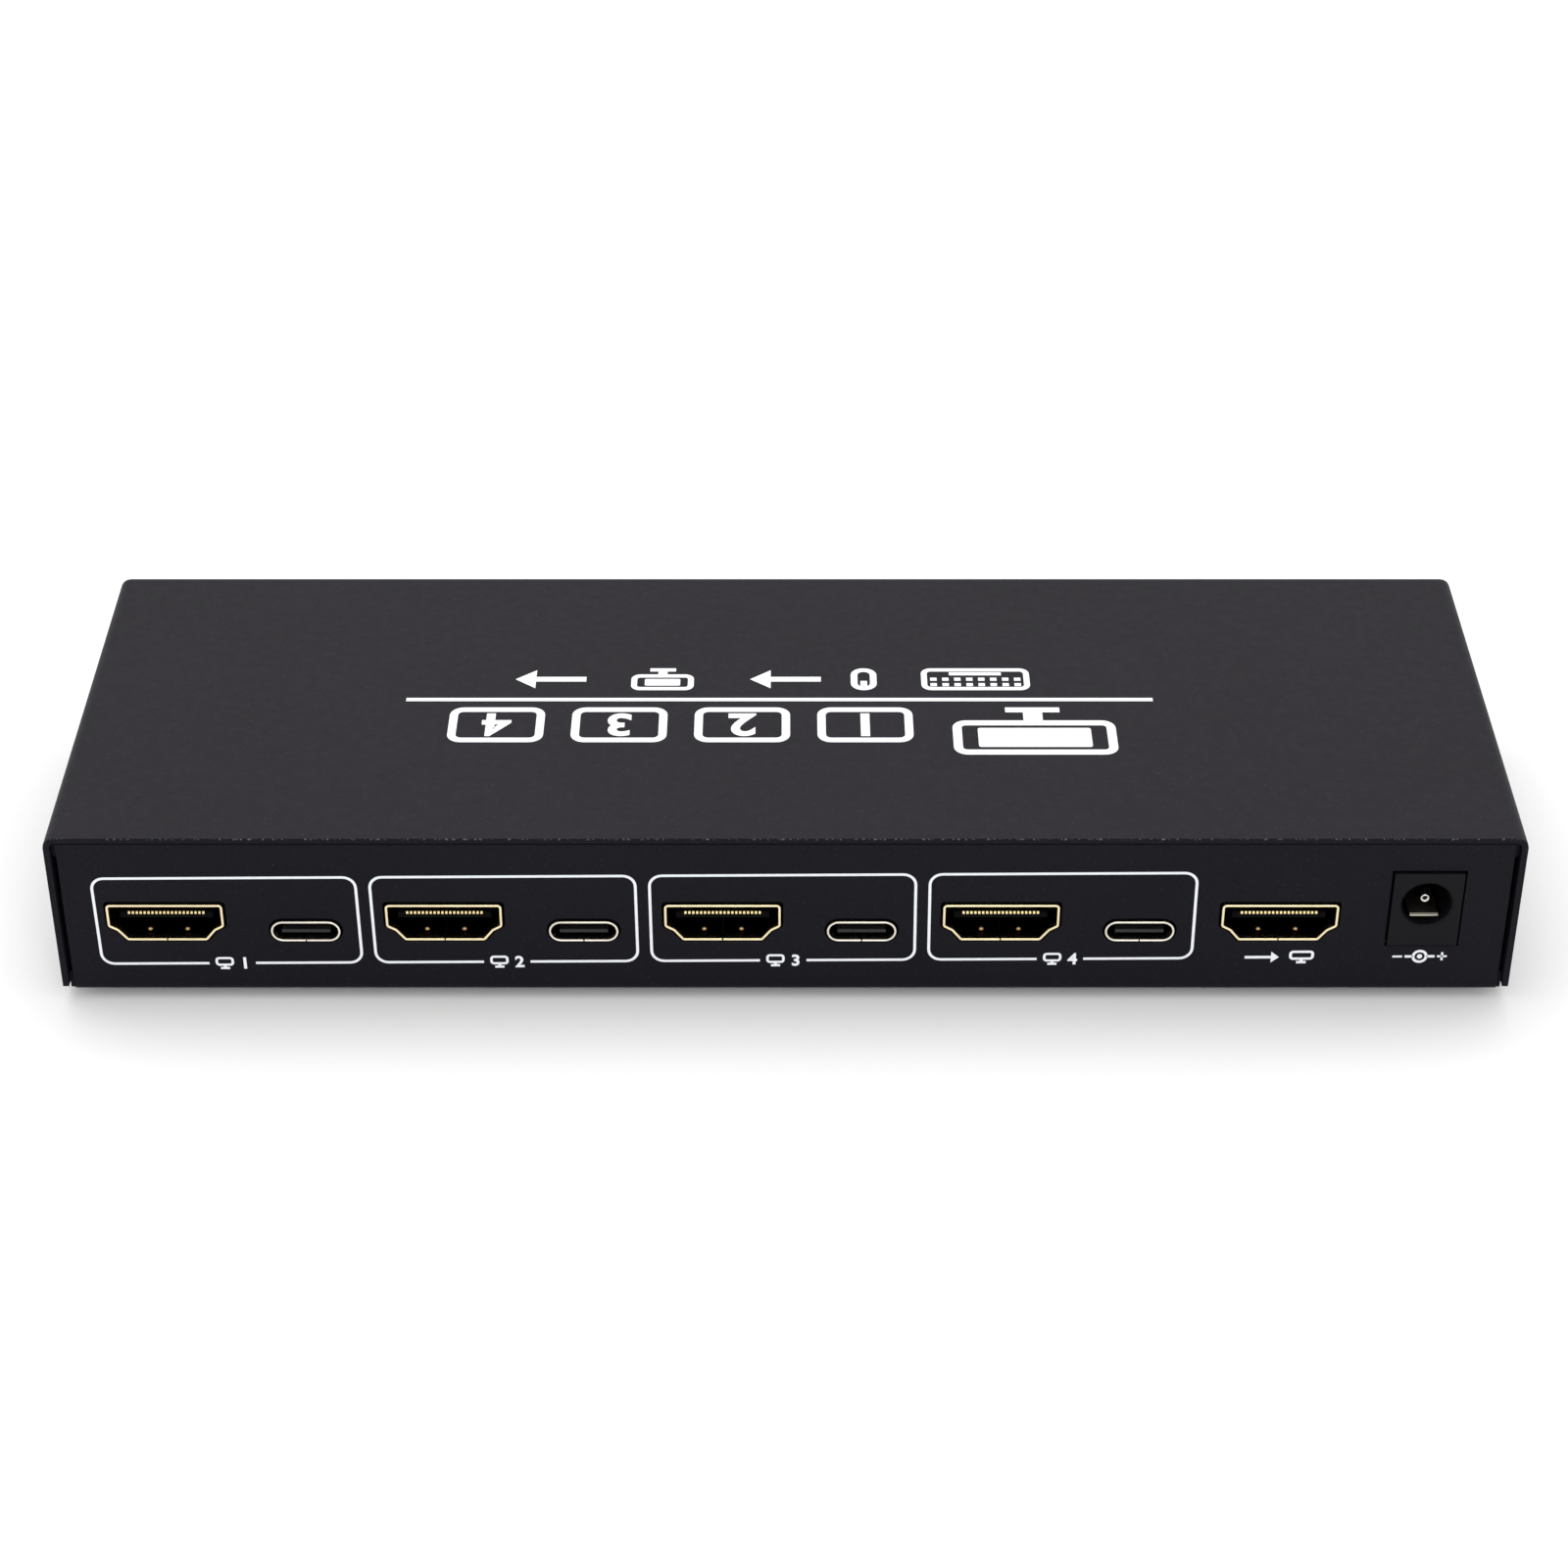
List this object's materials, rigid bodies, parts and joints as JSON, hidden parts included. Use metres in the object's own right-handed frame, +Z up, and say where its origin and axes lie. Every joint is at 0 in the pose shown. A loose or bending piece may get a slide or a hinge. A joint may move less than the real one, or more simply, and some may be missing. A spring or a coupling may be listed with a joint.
{
  "type": "kvm switch",
  "caption": "Flat black steel desktop switch box with video, type C and power sockets on one long side and push buttons with type A sockets on the other.",
  "frame": {"origin": "on the desk, at the middle of the feet and of the case", "axes": "+Z up, X along the case, -Y towards the side with the video, type C and power sockets, +Y towards the side with the buttons"},
  "size_m": [0.187, 0.0669, 0.0253],
  "materials": {
    "cover_coat": "black powder coat, fine sand texture, satin",
    "tray_coat": "black powder coat, fine texture, satin",
    "black_screw": "black oxide steel",
    "foot_rubber": "matt rubber",
    "board_laminate": "green solder mask on glass laminate",
    "standoff_brass": "plain turned brass",
    "screw_steel": "zinc-plated steel",
    "gold_shell": "gold flash over brass sheet, polished",
    "nickel_shell": "nickel plate, polished",
    "tin_shell": "bright tin plate",
    "insert_plastic": "black moulded plastic",
    "jack_plastic": "black moulded plastic, satin",
    "jack_contact": "bright nickel plate",
    "button_plastic": "black moulded plastic, satin",
    "chip_plastic": "black moulding compound",
    "lamp_plastic": "clear acrylic",
    "bare_aluminium": "bare aluminium"
  },
  "bodies": {
    "chassis": {"base_tray": "tray_coat", "board_screw_1": "screw_steel", "board_screw_2": "screw_steel", "board_screw_3": "screw_steel", "board_screw_4": "screw_steel", "board_standoff_1": "standoff_brass", "board_standoff_2": "standoff_brass", "board_standoff_3": "standoff_brass", "board_standoff_4": "standoff_brass", "button_switch_1": "chip_plastic", "button_switch_2": "chip_plastic", "button_switch_3": "chip_plastic", "button_switch_4": "chip_plastic", "capacitor": "bare_aluminium", "cover_screw_1": "black_screw", "cover_screw_2": "black_screw", "cover_screw_3": "black_screw", "cover_screw_4": "black_screw", "crystal": "tin_shell", "heat_sink": "bare_aluminium", "hub_chip": "chip_plastic", "light_pipe": "lamp_plastic", "main_board": "board_laminate", "power_jack_housing": "jack_plastic", "power_jack_pin": "jack_contact", "power_jack_spring": "jack_contact", "rubber_foot_1": "foot_rubber", "rubber_foot_2": "foot_rubber", "rubber_foot_3": "foot_rubber", "rubber_foot_4": "foot_rubber", "switch_chip": "chip_plastic", "top_cover": "cover_coat", "type_a_port_insert_1": "insert_plastic", "type_a_port_insert_2": "insert_plastic", "type_a_port_insert_3": "insert_plastic", "type_a_port_shell_1": "tin_shell", "type_a_port_shell_2": "tin_shell", "type_a_port_shell_3": "tin_shell", "type_c_port_insert_1": "insert_plastic", "type_c_port_insert_2": "insert_plastic", "type_c_port_insert_3": "insert_plastic", "type_c_port_insert_4": "insert_plastic", "type_c_port_shell_1": "nickel_shell", "type_c_port_shell_2": "nickel_shell", "type_c_port_shell_3": "nickel_shell", "type_c_port_shell_4": "nickel_shell", "video_port_insert_1": "insert_plastic", "video_port_insert_2": "insert_plastic", "video_port_insert_3": "insert_plastic", "video_port_insert_4": "insert_plastic", "video_port_insert_5": "insert_plastic", "video_port_shell_1": "gold_shell", "video_port_shell_2": "gold_shell", "video_port_shell_3": "gold_shell", "video_port_shell_4": "gold_shell", "video_port_shell_5": "gold_shell"},
    "button_1": {"button_cap_1": "button_plastic"},
    "button_2": {"button_cap_2": "button_plastic"},
    "button_3": {"button_cap_3": "button_plastic"},
    "button_4": {"button_cap_4": "button_plastic"}
  },
  "joints": [
    {"name": "button_1_press", "type": "slide", "parent": "chassis", "child": "button_1", "axis": [0, -1, 0], "range_m": [0, 0.001], "stiffness_N_per_m": 800, "springref_m": -0.0005},
    {"name": "button_2_press", "type": "slide", "parent": "chassis", "child": "button_2", "axis": [0, -1, 0], "range_m": [0, 0.001], "stiffness_N_per_m": 800, "springref_m": -0.0005},
    {"name": "button_3_press", "type": "slide", "parent": "chassis", "child": "button_3", "axis": [0, -1, 0], "range_m": [0, 0.001], "stiffness_N_per_m": 800, "springref_m": -0.0005},
    {"name": "button_4_press", "type": "slide", "parent": "chassis", "child": "button_4", "axis": [0, -1, 0], "range_m": [0, 0.001], "stiffness_N_per_m": 800, "springref_m": -0.0005}
  ]
}
